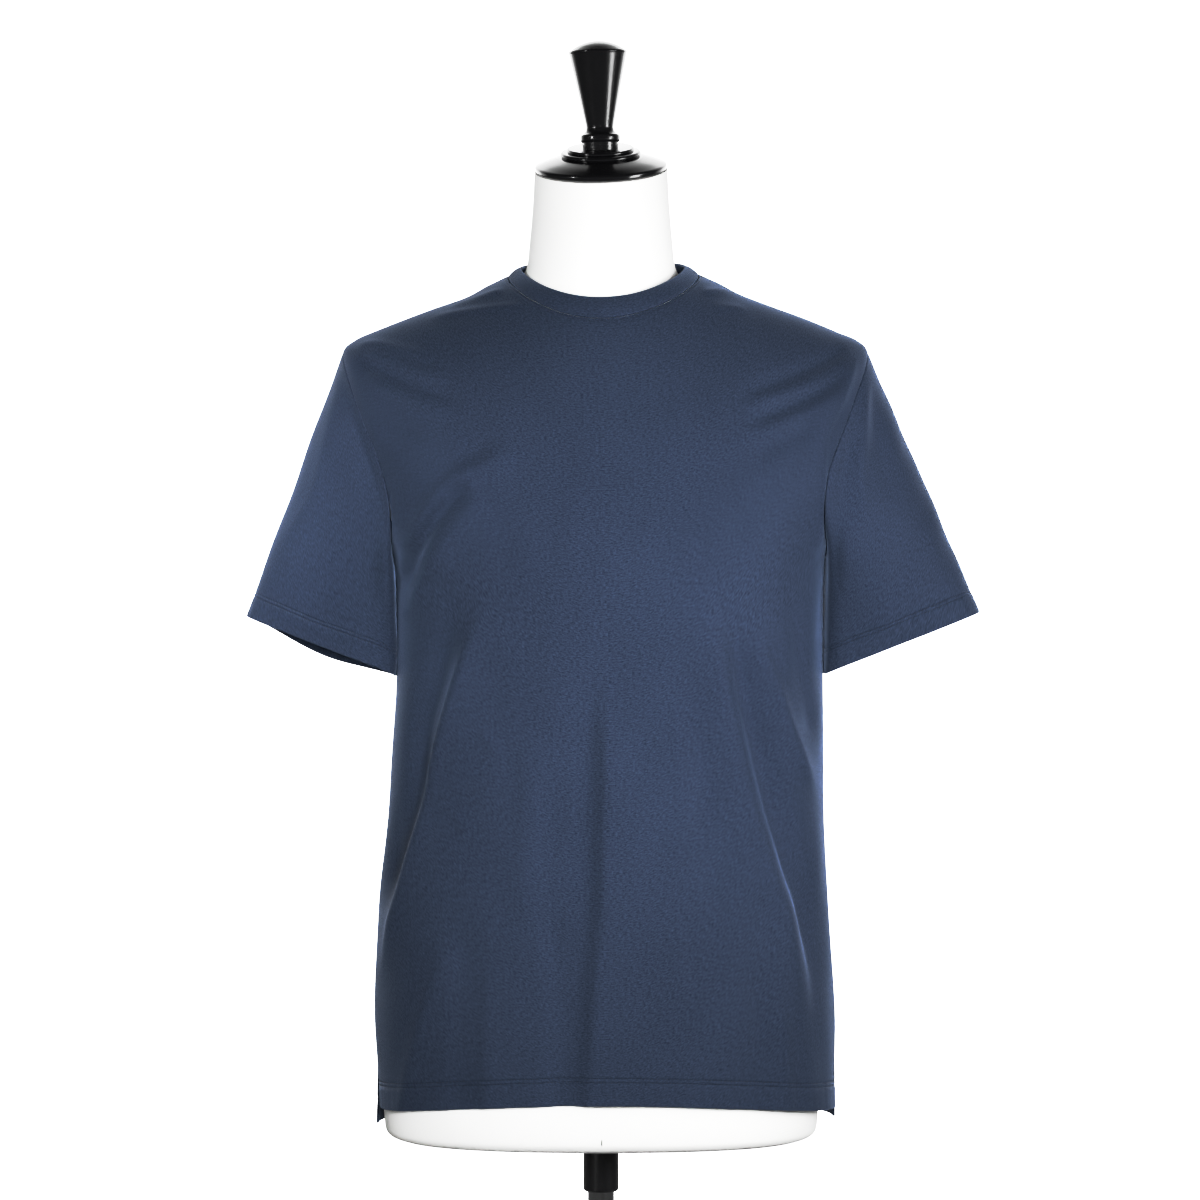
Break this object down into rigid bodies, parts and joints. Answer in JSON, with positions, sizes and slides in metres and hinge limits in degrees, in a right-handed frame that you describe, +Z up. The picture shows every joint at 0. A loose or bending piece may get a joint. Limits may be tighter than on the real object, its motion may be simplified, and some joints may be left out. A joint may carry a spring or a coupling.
{
  "type": "crew neck t-shirt on limbless dress form",
  "caption": "Short-sleeved crew neck t-shirt with side vents, worn on a limbless canvas dress form that turns on a pole and round base.",
  "frame": {"origin": "centre of the round base's underside, on the pole's axis", "axes": "+Z up along the pole, -Y to the front of the shirt, +X to the wearer's left"},
  "size_m": [0.6184, 0.34, 1.1797],
  "materials": {
    "navy_jersey": "smooth fine cotton jersey with a slight lustre",
    "navy_rib": "fine rib knit",
    "white_canvas": "matte plain-weave canvas over a padded torso",
    "black_lacquer": "turned wood in gloss black lacquer",
    "black_tube": "semi-gloss black",
    "chrome": "polished plating",
    "plated_steel": "satin plating"
  },
  "bodies": {
    "stand": {"pole": "chrome", "stand_base": "plated_steel"},
    "bust": {"front_panel": "navy_jersey", "back_panel": "navy_jersey", "right_sleeve": "navy_jersey", "left_sleeve": "navy_jersey", "neck_rib": "navy_rib", "dress_form": "white_canvas", "neck_cap": "black_lacquer", "cap_handle": "black_lacquer", "pole_socket": "black_tube"}
  },
  "joints": [
    {"name": "bust_turn", "type": "hinge", "parent": "stand", "child": "bust", "pos_m": [0, 0, 0.26], "axis": [0, 0, 1], "continuous": true}
  ]
}
